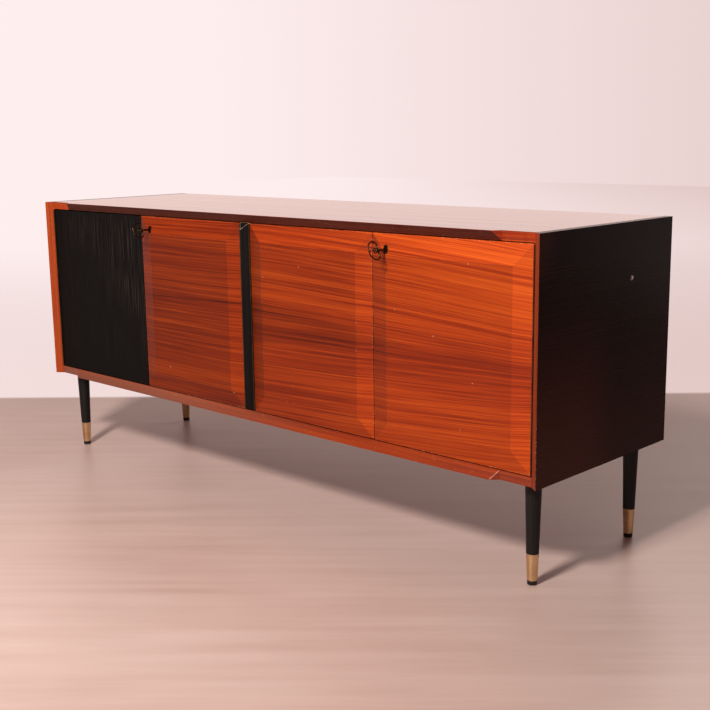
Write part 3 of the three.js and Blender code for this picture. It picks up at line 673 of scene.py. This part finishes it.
def build_legs(lacquer, brass, rubber):
    wall = 1.3  # of a ferrule
    ease = 0.6
    bead = 0.35
    clear = 0.3
    rounding = 2.8  # of a glide's lower edge
    for corner in CORNERS:
        leg, ferrule, glide = (f"{part}_{corner}" for part in ("leg", "ferrule", "glide"))
        centre = Vector((middle(leg).x, middle(leg).y, 0))
        top, waist, tip = half_width(leg), half_width(ferrule), half_width(glide)
        leg_low, leg_high = box(leg)[0].z, box("bottom_panel")[0].z - clear
        low, high = box(ferrule)[0].z, box(ferrule)[1].z
        shoulder = high + clear
        leg_profile = [
            (0, leg_low), (tip - wall, leg_low), (waist - wall, shoulder), (waist - ease, shoulder),
            (waist, high + ease), (top, leg_high - ease), (top - ease, leg_high), (0, leg_high)]
        make_turned(f"turned_leg_{corner}", leg_profile, centre, ALONG_Z, lacquer, leg, [leg])
        ferrule_profile = [
            (tip - wall + 0.4, low), (tip, low), (tip + bead / 2, low + 1), (tip + bead / 2, low + 2),
            (waist - 0.1, high - 2), (waist + bead / 2, high - 1.2), (waist, high),
            (waist - wall + 0.4, high)]
        make(f"brass_ferrule_{corner}", lambda shape: add_ring(shape, ferrule_profile, centre),
             brass, ferrule, [ferrule])
        glide_top = box(glide)[1].z
        flat = tip - 0.4 - rounding
        curve = [
            (flat + rounding * math.sin(turn), rounding - rounding * math.cos(turn))
            for turn in spread(0, math.pi / 2, 7)]
        glide_profile = [
            (0, 0), *curve, (tip - 0.1, glide_top - 0.5), (tip - ease, glide_top), (0, glide_top)]
        make_turned(f"rounded_glide_{corner}", glide_profile, centre, ALONG_Z, rubber, glide, [glide])


# ---------- keys ----------

KEY_DOORS = ("inner_left", "far_right")
KEY_TILT = math.radians(23)  # the bow leans to the left of upright


def build_key(door, finish):
    """A cast key: a bow of two lobes with a scroll in each, a bead, collars and a shank."""
    node = f"key_{door}"
    low, high = box(node)
    x, z = middle(node).x, middle(node).z
    wire = 1.5
    lobe = (high.z - low.z) / 2 - wire * 1.3
    upright = Matrix.Translation((x, 0, z)) @ Matrix.Rotation(-KEY_TILT, 4, "Y")
    stretch = 1.1  # along the shank
    cleft, outside = 0.3, 0.8  # the heart's reach at its cleft and opposite it
    bow_y = low.y + stretch * outside * lobe + wire * 1.3
    neck_y = bow_y + stretch * cleft * lobe
    scroll_turn, scroll_reach = 1.55 * math.pi, 5.6

    def bow(shape):
        path = []
        for angle in turns(96):
            ahead = math.cos(angle)
            reach = lobe * (1 - (1 - cleft) * max(ahead, 0) ** 3 - (1 - outside) * max(-ahead, 0) ** 2)
            path.append(upright @ Vector((0, bow_y + stretch * reach * ahead, reach * math.sin(angle))))
        radii = [wire * (0.85 + 0.3 * abs(math.sin(angle))) for angle in turns(96)]
        add_tube(shape, path, radii, closed=True)

    def scroll(shape, side):
        path = []
        for share in spread(0, 1, 40):
            angle = scroll_turn * share
            ahead, out = polar(scroll_reach * (1 - 0.55 * share), angle)
            path.append(upright @ Vector((0, neck_y - 5.8 + ahead, side * (1 + out))))
        add_tube(shape, path, spread(0.8 * wire, 0.46 * wire, 40))

    def shank(shape):
        thin, thick = 2.4, 4.2
        profile = [(0, neck_y), (thin, neck_y + 1)]
        for collar in (neck_y + 3.6, neck_y + 6.4):
            profile += [
                (thin, collar - 1.1), (thick * 0.9, collar - 0.6), (thick, collar),
                (thick * 0.9, collar + 0.6), (thin, collar + 1.1)]
        profile += [(thin, high.y - 0.5), (0, high.y)]
        add_turned(shape, profile, (x, 0, z), ALONG_Y, 32)

    def whole(shape):
        bow(shape)
        scroll(shape, -1)
        scroll(shape, 1)
        for y, radius in ((neck_y, 4), (low.y + 5, 2.6)):
            place = Matrix.Translation((x, y, z))
            bmesh.ops.create_uvsphere(shape, u_segments=24, v_segments=16, radius=radius, matrix=place)
        shank(shape)

    make(f"cast_key_{door}", whole, finish, node, [node])


def build_escutcheon(door, finish):
    """A tall lobed plate with a raised rim and a collar round the keyhole."""
    node = f"escutcheon_{door}"
    low, high = box(node)
    height = (high.z - low.z) / 2
    lie = Matrix.Translation(middle(node)) @ Matrix.Rotation(-math.atan(BEVEL_SLOPE), 4, "X")
    hole = 3.3
    plate_rings = ((1.0, 0.75), (0.97, -0.35), (0.88, -0.7), (0.78, -0.45), (0.5, -0.55))
    collar_rings = ((1.6, -0.6), (1.2, -1.2), (0.3, -1.2), (0, -0.8), (0, 0.75))

    def plate(shape):
        def ring(points, lift):
            return [shape.verts.new(lie @ Vector((a, lift, b))) for a, b in points]

        outline = []
        for angle in turns(72):
            swell = height * (1 - 0.07 * math.cos(4 * angle) + 0.04 * math.cos(8 * angle))
            a, b = polar(swell, angle)
            outline.append((0.62 * a, 0.94 * b))
        rings = [ring([(a * inset, b * inset) for a, b in outline], lift) for inset, lift in plate_rings]
        for wider, lift in collar_rings:
            rings.append(ring([polar(hole + wider, angle) for angle in turns(72)], lift))
        skin(shape, rings, closed=True)

    make(f"cast_escutcheon_{door}", plate, finish, node, [node])


# ---------- screws ----------

def add_screw(shape, place, outward, radius=3.2):
    """A slotted screw head on a surface: a disc with a half head either side of the slot."""
    disc, head = 0.3, 0.8
    add_turned(shape, [(0, 0), (radius, 0), (radius, disc), (0, disc)], place, outward, 20)
    lie = frame_about(Vector(place), outward)
    up = lie.to_3x3() @ Vector((0, 0, head))
    start = math.asin(0.14)
    for side in (0, math.pi):
        arc = spread(side + start, side + math.pi - start, 9)
        points = [lie @ Vector((*polar(0.96 * radius, turn), disc)) for turn in arc]
        add_prism(shape, points, up)


def build_screws(name, places, outward, finish, like):
    """The screws that hold one board or plate down, as one piece."""
    def heads(shape):
        for place in places:
            add_screw(shape, place, outward)

    make(name, heads, finish, like, smooth=False)


def build_back_screws(node, inset, count, finish, halfway=False):
    """Screws along the top and bottom of a node's back, and if halfway also halfway up its sides."""
    low, high = box(node)
    across = spread(low.x + inset, high.x - inset, count)
    places = [(x, high.y, z) for x in across for z in (low.z + inset, high.z - inset)]
    if halfway:
        places += [(x, high.y, middle(node).z) for x in (across[0], across[-1])]
    build_screws(f"screws_{node}", places, ALONG_Y, finish, node)


# ---------- radio ----------

KNOBS = ("volume_knob", "tone_knob", "tuning_knob")
BUTTONS = ("push_button_1", "push_button_2", "push_button_3")


def build_knob(node, moulded, brass):
    """A fluted knob on its shaft, with a brass cap that bears a raised index line."""
    low, high = box(node)
    x, z = middle(node).x, middle(node).z
    skirt = half_width(node)
    grip = skirt - 3
    face = grip - 2.2
    cap = 0.8
    back = box("radio_fascia")[0].y - 1
    shaft = 3
    flute = 0.9
    profile = [
        (0, low.y + cap), (face, low.y + cap), (face + 0.5, low.y), (face + 1, low.y),
        (grip, low.y + 1.4, flute), (grip, back - 5, flute), (skirt, back - 2),
        (skirt, back), (shaft, back), (shaft, high.y), (0, high.y)]
    make_turned(f"fluted_{node}", profile, (x, 0, z), ALONG_Y, moulded, node, [node], sides=120, flutes=20)
    front = low.y + 0.1

    def disc(shape):
        rim = [(0, low.y + cap / 2), (face - 2, low.y + cap / 2), (face - 1.6, front),
               (face - 0.2, front), (face - 0.2, low.y + cap), (0, low.y + cap)]
        add_turned(shape, rim, (x, 0, z), ALONG_Y)
        add_block(shape, (x - 0.6, front, z + 1), (x + 0.6, low.y + cap, z + face - 1.8))

    make(f"cap_{node}", disc, brass, node)


def add_number(shape, number, height, place):
    """Digits that face the front, standing a hair proud of the card behind them."""
    curve = bpy.data.curves.new("digits", "FONT")
    curve.body = str(number)
    curve.size = height
    curve.extrude = 0.1
    curve.align_x = "CENTER"
    curve.align_y = "CENTER"
    carrier = bpy.data.objects.new("digits", curve)
    mesh = bpy.data.meshes.new_from_object(carrier)
    mesh.transform(Matrix.Translation(place) @ Matrix.Rotation(math.pi / 2, 4, "X"))
    shape.from_mesh(mesh)


def build_dial(card, ink, brass):
    """A printed card behind the pointer, and a brass frame round the glass."""
    low, high = box("dial_glass")
    front = box("dial_pointer")[1].y + 2
    ink_front = front - 0.1
    back = front + 1.5
    make("dial_card", lambda shape: add_block(shape, (low.x, front, low.z), (high.x, back, high.z)), card,
         "radio_fascia", smooth=False)
    first = middle("dial_pointer").x
    last = low.x + high.x - first
    bands = (
        (low.z + 22, (55, 60, 70, 80, 100, 120, 160)),
        (low.z + 50, (88, 92, 96, 100, 104, 108)),
    )

    def print_on(shape):
        for baseline, numbers in bands:
            add_block(shape, (first, ink_front, baseline), (last, front, baseline + 0.5))
            for index, x in enumerate(spread(first, last, 61)):
                tall = 6 if index % 10 == 0 else 3
                left, right = x - 0.25, x + 0.25
                add_block(shape, (left, ink_front, baseline), (right, front, baseline + tall))
            for number, x in zip(numbers, spread(first + 6, last - 6, len(numbers))):
                add_number(shape, number, 9, (x, front, baseline - 6))

    make("dial_print", print_on, ink, "radio_fascia", smooth=False)

    def bezel(shape):
        corner = 3
        path = []
        left, right = low.x + corner, high.x - corner
        under, over = low.z + corner, high.z - corner
        for quarter, (x, z) in enumerate(((right, over), (left, over), (left, under), (right, under))):
            for turn in spread(quarter * math.pi / 2, (quarter + 1) * math.pi / 2, 6):
                across, up = polar(corner, turn)
                path.append(Vector((x + across, low.y - 0.5, z + up)))
        add_tube(shape, path, 1.1, closed=True, sides=12)

    make("dial_bezel", bezel, brass, "radio_fascia")


# ---------- record player ----------

def build_platter(aluminium, rubber, steel):
    """A turned disc with a ribbed mat on it and a bright spindle."""
    low, high = box("platter")
    centre = Vector((middle("platter").x, middle("platter").y, 0))
    radius = half_width("platter")
    top = high.z - 18
    under = top - 10
    mat = 1.4
    hub = 6
    pin = 3.5
    disc = [
        (0, low.z), (hub, low.z), (hub, under), (radius - 4, under), (radius - 2, under + 1),
        (radius - 2, under + 2), (radius, under + 3), (radius, top - 2.4),
        (radius - 1.2, top - 0.8), (radius - 5, top - 0.8),
        (radius - 5.6, top - mat), (0, top - mat)]
    make_turned("turned_platter", disc, centre, ALONG_Z, aluminium, "platter", ["platter"], sides=128)
    outer = radius - 6
    inner = pin + 4
    low_mat = top - 0.7
    ribs = [(outer, top - mat), (outer, top - 0.3)]
    pitch = 5.6
    for index in range(int((outer - inner - 4) / pitch)):
        rib = outer - 1 - index * pitch
        ribs += [(rib, top), (rib - 3, top), (rib - 3.6, low_mat), (rib - 5, low_mat)]
    ribs += [(inner, low_mat), (inner, top - mat)]
    make("ribbed_mat", lambda shape: add_ring(shape, ribs, centre, 128), rubber, "platter")
    spindle = [
        (0, top - mat), (pin, top - mat), (pin, high.z - 4), (pin - 1.5, high.z - 0.6), (0, high.z)]
    make_turned("spindle", spindle, centre, ALONG_Z, steel, "platter", sides=32)


def build_tonearm(moulded, steel):
    """A tapered tube with a headshell, a finger lift, a cartridge and a ribbed counterweight."""
    low, high = box("tonearm")
    x = middle("tonearm").x
    radius = half_width("tonearm")
    height = high.z - radius
    shell_end = low.y + 36
    place = (x, 0, height)
    start, end = high.y - 26, high.y  # of the counterweight
    tube = [
        (0, low.y + 20), (3, low.y + 20), (3.6, low.y + 60),
        (4, middle("tonearm_swivel").y), (4, start), (0, start)]
    make_turned("arm_tube", tube, place, ALONG_Y, steel, "tonearm", ["tonearm"], sides=32)
    weight = [(0, start), (radius - 1, start), (radius, start + 1)]
    for groove in spread(start + 5, end - 5, 4):
        weight += [(radius, groove - 1), (radius - 0.8, groove), (radius, groove + 1)]
    weight += [(radius, end - 1), (radius - 1, end), (0, end)]
    make_turned("arm_weight", weight, place, ALONG_Y, steel, "tonearm")

    def headshell(shape):
        wide, narrow = 8, 5
        right = [(wide - 2, low.y), (wide, low.y + 3), (wide, low.y + 20), (narrow, shell_end)]
        outline = [(x + a, b) for a, b in right] + [(x - a, b) for a, b in reversed(right)]
        add_prism(shape, [Vector((a, b, height - 9)) for a, b in outline], Vector((0, 0, 13)))
        lift = [Vector((x + wide - 1, low.y + 6, height + 1)),
                Vector((x + wide + 1.2, low.y + 4, height + 2)),
                Vector((x + wide + 1.6, low.y + 1.6, height + 5))]
        add_tube(shape, lift, [1.3, 1.1, 0.9])

    def cartridge(shape):
        under = height - 11
        add_block(shape, (x - 4, low.y + 4, under), (x + 4, low.y + 18, under + 2.5), 0.6)
        tip = [(0, low.z), (0.5, low.z + 1), (1.6, under), (0, under)]
        add_turned(shape, tip, (x, low.y + 10, 0), ALONG_Z, 16)

    make("arm_headshell", headshell, moulded, "tonearm")
    make("arm_cartridge", cartridge, moulded, "tonearm")


def build_player_screws(finish):
    low, high = box("player_plate")
    plate_top = low.z + 3
    inset = 14
    across = (low.x + inset, high.x - inset)
    places = [(x, y, plate_top) for x in across for y in (low.y + inset, high.y - inset)]
    build_screws("screws_player_plate", places, ALONG_Z, finish, "player_plate")


# ---------- loudspeaker ----------

def build_loudspeaker(cone_paper, steel, wire_finish):
    """A ribbed paper cone in a pressed basket with a magnet, and a wire guard in front."""
    x, z = middle("loudspeaker").x, middle("loudspeaker").z
    rim = half_width("loudspeaker")
    front = box("loudspeaker")[0].y
    place = (x, 0, z)

    def at(*points):
        return [(radius, front + back) for radius, back in points]

    basket = at(
        (0, 60), (48, 60), (83, 3.5), (83, 0), (99, 0), (100, 1), (100, 3), (86, 4), (51, 62), (46, 62.5),
        (46, 91), (45, 92), (0, 92))
    make_turned("speaker_basket", basket, place, ALONG_Y, steel, "loudspeaker", ["loudspeaker"], sides=96)
    cap = at((0, 31), (6, 31.6), (12, 33.8), (16, 37.5), (20, 40))
    radii = range(22, 70, 2)
    ribbed = at(*((radius, 52 - 0.6 * radius + 0.7 * math.sin(0.9 * radius)) for radius in radii))
    roll = at(
        (71, 9), (73, 5), (75, 4), (77, 5.5), (79, 4), (82, 2.2), (82.5, 3.2), (77, 8), (70, 12),
        (20, 43), (0, 44))
    make_turned("speaker_cone", cap + ribbed + roll, place, ALONG_Y, cone_paper, "loudspeaker",
                sides=96)

    def guard(shape):
        centre = Vector((x, box("speaker_baffle")[0].y - 1.4, z))

        def towards(turn, reach):
            across, up = polar(reach, turn)
            return centre + Vector((across, 0, up))

        for radius in (24, 44, 64, rim - 14):
            path = [towards(turn, radius) for turn in turns(72)]
            add_tube(shape, path, 1.1, closed=True, sides=10)
        for turn in spread(0, 0.75 * math.pi, 4):
            add_tube(shape, [towards(turn, 12 - rim), towards(turn, rim - 12)], 1.1, sides=10)

    make("speaker_guard", guard, wire_finish, "speaker_baffle")


# ---------- stud ----------

def build_stud(steel):
    """A stud in the right side, with a low domed head."""
    low, high = box("side_stud")
    radius = (high.z - low.z) / 2
    shank = 3.5
    under = high.x - 1.3
    dome = 0.9
    profile = [(0, low.x), (shank, low.x), (shank, under), (radius, under)]
    for turn in spread(0, math.pi / 2 - 0.15, 8):
        profile.append((radius * math.cos(turn), high.x - dome * (1 - math.sin(turn))))
    profile += [(0, high.x)]
    centre = (0, middle("side_stud").y, middle("side_stud").z)
    make_turned("domed_stud", profile, centre, ALONG_X, steel, "side_stud", ["side_stud"], sides=32)


# ---------- room, light and camera ----------

WALL_POINT = Vector((-1.584, -0.020, 0))  # the floor turns paler past a line through here
WALL_ALONG = Vector((0.741, 0.672, 0))
AWAY = WALL_ALONG.cross(Vector((0, 0, -1)))  # from the console towards the pale part of the floor
# the backdrop's colours, with painted light: lighter on the left than on the right
WALL_LEFT = "#feeeee"
WALL_RIGHT = "#dfc5c2"
MIRRORED_WALL = "#ffdfd8"  # what glossy surfaces reflect behind the console
FILL = "#7c6a64"  # the light that comes from all round
FLOOR_REACH = 14


def build_floor():
    """A large plain floor. It is paler past a diagonal line behind the console. Painted light makes it
    lighter to the left and darker to the right.
    """
    mesh = bpy.data.meshes.new("floor")
    corners = [(-1, -1), (1, -1), (1, 1), (-1, 1)]
    mesh.from_pydata([(x * FLOOR_REACH, y * FLOOR_REACH, 0) for x, y in corners], [], [(0, 1, 2, 3)])
    ground = Surface("pale_floor", Emission_Strength=1.0)
    past = (ground.x - WALL_POINT.x) * AWAY.x + (ground.y - WALL_POINT.y) * AWAY.y
    beyond = past.ramp(-0.02, 0.02)
    far = past.ramp(0.2, 6.0)
    along = ground.x * WALL_ALONG.x + ground.y * WALL_ALONG.y
    streaks = ground.noise(along * 1.5, past * 22.0, 0.0, 4, 0.6)
    clouds = ground.noise(ground.x * 1.3, ground.y * 1.3, 2.0, 3)
    near = ground.tones(streaks * 0.5 + clouds * 0.5, (0.3, "#b69e95"), (0.5, "#c4aea6"), (0.7, "#cfbcb5"))
    # painted light: the near floor is lighter to the left and darker to the right
    near = ground.darker(near, along.ramp(-1.9, 1.4, 1.24, 0.88))
    ground.base(ground.mix(beyond, near, ground.mix(far, "#756765", "#000000")))
    ground.roughness(0.3 + 0.2 * streaks + 0.6 * beyond)
    ground.connect("Specular IOR Level", 0.4 - 0.4 * far)
    # painted light: the glowing backdrop past the line is lighter to the left
    foot = ground.mix(along.ramp(-2.0, 2.0), "#f8e6e5", "#e2cac8")
    wall = ground.mix(far, foot, ground.mix(along.ramp(-2.0, 6.4), WALL_LEFT, WALL_RIGHT))
    ground.connect("Emission Color", ground.darker(wall, (0.84 + 0.16 * far) * beyond))
    mesh.materials.append(ground.material)
    add_to_scene("floor", mesh)


def build_world():
    """Pale pink surroundings, bright where seen but in reflections only behind the console."""
    world = bpy.data.worlds.new("pale_room")
    world.use_nodes = True
    tree = world.node_tree
    coordinates = new_node(tree, "TexCoord")
    path = new_node(tree, "LightPath")

    def share_towards(direction, start, end):
        product = new_node(tree, "VectorMath", coordinates.outputs["Generated"], direction)
        product.operation = "DOT_PRODUCT"
        return new_node(tree, "MapRange", product.outputs["Value"], start, end).outputs[0]

    seen = mixed(tree, share_towards(WALL_ALONG, -0.15, 0.45), WALL_LEFT, WALL_RIGHT)
    mirrored = mixed(tree, share_towards(AWAY, 0.45, 0.8), "#433c3a", MIRRORED_WALL)
    shown = mixed(tree, path.outputs["Is Glossy Ray"], FILL, mirrored)
    shown = mixed(tree, path.outputs["Is Camera Ray"], shown, seen)
    feed(tree, shown, tree.nodes["Background"].inputs["Color"])
    bpy.context.scene.world = world


def build_light(name, place, target, size, power, tint):
    lamp = bpy.data.lights.new(name, "AREA")
    lamp.shape = "DISK"
    lamp.size = size
    lamp.energy = power
    lamp.color = colour(tint)[:3]
    light = add_to_scene(name, lamp)
    aim = (Vector(target) - Vector(place)).to_track_quat("-Z", "Y")
    light.matrix_world = Matrix.Translation(place) @ aim.to_matrix().to_4x4()


def build_lights():
    build_light("key", (0.84, -2.68, 2.56), (0.1, 0.0, 0.4), 0.55, 140, "#fff3ec")
    build_light("back_fill", (-0.4, 4.2, 2.6), (0, 0, 0.4), 2.5, 25, "#fff4f0")


EYE = (2.1357, -2.0465, 0.9433)
EYE_TURN = (-44.007, -11.242, -0.82)  # yaw, pitch and roll in degrees
SENSOR = 36
FOCAL_RATIO = 1.6154  # focal length over sensor width


def build_camera():
    yaw, pitch, roll = (math.radians(angle) for angle in EYE_TURN)
    data = bpy.data.cameras.new("camera")
    data.sensor_width = SENSOR
    data.lens = FOCAL_RATIO * SENSOR
    camera = add_to_scene("camera", data)
    aim = Matrix.Rotation(-yaw, 4, "Z") @ Matrix.Rotation(math.pi / 2 + pitch, 4, "X")
    camera.matrix_world = Matrix.Translation(EYE) @ aim @ Matrix.Rotation(roll, 4, "Z")
    bpy.context.scene.camera = camera


# ---------- the whole ----------

RED_DOORS = {  # seed, whether the grain fans out, depth: painted shade, darker on the doors further left
    "inner_left": (3.0, False, 0.66),
    "inner_right": (17.0, True, 0.82),
    "far_right": (17.0, True, 0.94),
}


def dress_woods():
    dress(ribbed_black("black_lacquer_ribbed", "door_far_left"), "door_far_left")
    divider_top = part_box("divider_ridge")[1].z
    dress(black_wood("black_lacquer_divider", hip_top=divider_top), "divider_ridge")
    dress(black_wood("black_lacquer_upright"), "speaker_baffle")
    for door, (seed, fanned, depth) in RED_DOORS.items():
        dress(door_wood(f"veneer_{door}", f"door_{door}", seed, fanned, depth), f"door_{door}")
    top_tones = ("#2c120c", "#43190f", "#5c2315")
    low_tones = ("#5a1d10", "#7d2a14", "#98391a")
    side_tones = ("#090606", "#130a08", "#24110c")
    dress(carcass_wood("veneer_top", "x", top_tones, 61.0, 0.3, 1.02, (1.0, 0.0)), "top_panel")
    dress(carcass_wood("veneer_bottom", "x", low_tones, 67.0, 0.3, 0.64, (0.1, 0.5)), "bottom_panel")
    sides = carcass_wood("veneer_sides", "y", side_tones, 71.0, 0.08, 0.88)
    dress(sides, *SIDES)
    dress(plain_wood("oiled_upright", "z"), "centre_partition", "bay_partition")
    dress(plain_wood("oiled_board", "x"), "player_deck", "storage_shelf")
    dress(hardboard(), "back_panel_left", "back_panel_right")


def dress_fittings():
    hinges = [node for node in nodes if node.startswith("hinge_leaf")]
    locks = [node for node in nodes if node.startswith("lock_")]
    dress(metal("browned_steel", "#453a2c", "#65563f", 0.4, 25.0), *hinges)
    dress(metal("zinc_plate", "#8c8b86", "#a8a7a2", 0.4, 18.0), *locks, "radio_chassis")
    dress(plastic("fascia_brown", "#1c1310", "#2a1f1a", 0.25, 0.5), "radio_fascia")
    dress(clear_glass(), "dial_glass")
    dress(plastic("ivory", "#e3d6b6", "#cbb88e", 0.3, 0.3), *BUTTONS)
    dress(plastic("pointer_red", "#8a1f14", "#a5301f", 0.35, 0.3), "dial_pointer")
    dress(plastic("cream_paint", "#cfc3a2", "#b9aa84", 0.35, 0.3), "player_plate")
    dress(metal("blackened_steel", "#17171a", "#3a3a3d", 0.4), "tonearm_swivel")


EASED_EDGES = {  # widths in millimetres
    0.5: ("centre_partition", "bay_partition"),
    0.6: ("divider_ridge", "radio_fascia", "tonearm_swivel"),
    0.8: ("top_panel", "bottom_panel", *SIDES, "player_deck", "player_plate"),
    0.9: ("door_far_left", "door_inner_left", "door_inner_right", "door_far_right"),
    1.0: ("storage_shelf",),
    1.2: BUTTONS,
}


bpy.context.scene.view_settings.view_transform = "Standard"
build_camera()
build_world()
build_lights()
build_floor()
dress_woods()
dress_fittings()
for width, eased in EASED_EDGES.items():
    for node in eased:
        soften(node, width * MM)
build_legs(
    black_wood("leg_lacquer", 0.35),
    metal("ferrule_brass", "#d0a97c", "#e6c79b", 0.34, 25.0),
    plastic("glide_black", "#0c0b0b", "#1c1a19", 0.5, 0.0))
polished_brass = metal("polished_brass", "#b08a50", "#e0c088", 0.22, 40.0)
bright_steel = metal("bright_steel", "#8d8d8c", "#cfcfcd", 0.22, 80.0)
screw_steel = metal("screw_steel", "#4d453a", "#8b7f6d", 0.35, 200.0)
knob_ivory = plastic("knob_ivory", "#e6dabb", "#cdbb93", 0.28, 0.3)
for knob in KNOBS:
    build_knob(knob, knob_ivory, polished_brass)
build_dial(
    plastic("dial_card", "#e9dcb8", "#d6c495", 0.5, 0.0),
    plastic("dial_ink", "#3a2113", "#4a2f1f", 0.5, 0.0), polished_brass)
build_platter(
    metal("turned_aluminium", "#8d8f92", "#c4c6c8", 0.3),
    plastic("mat_rubber", "#191817", "#2b2927", 0.6, 0.0), bright_steel)
build_tonearm(knob_ivory, bright_steel)
build_player_screws(screw_steel)
build_loudspeaker(
    paper(), metal("basket_steel", "#4a4a4a", "#77777a", 0.4),
    metal("guard_wire", "#6a6258", "#a09684", 0.35))
build_stud(bright_steel)
for end in ("left", "right"):
    build_back_screws(f"back_panel_{end}", 10, 7, screw_steel, halfway=True)
for door in KEY_DOORS:
    build_back_screws(f"lock_case_{door}", 6, 2, screw_steel)
bronze = metal("patinated_brass", "#1c1612", "#57462f", 0.32, 160.0)
for door in KEY_DOORS:
    build_key(door, bronze)
    build_escutcheon(door, bronze)
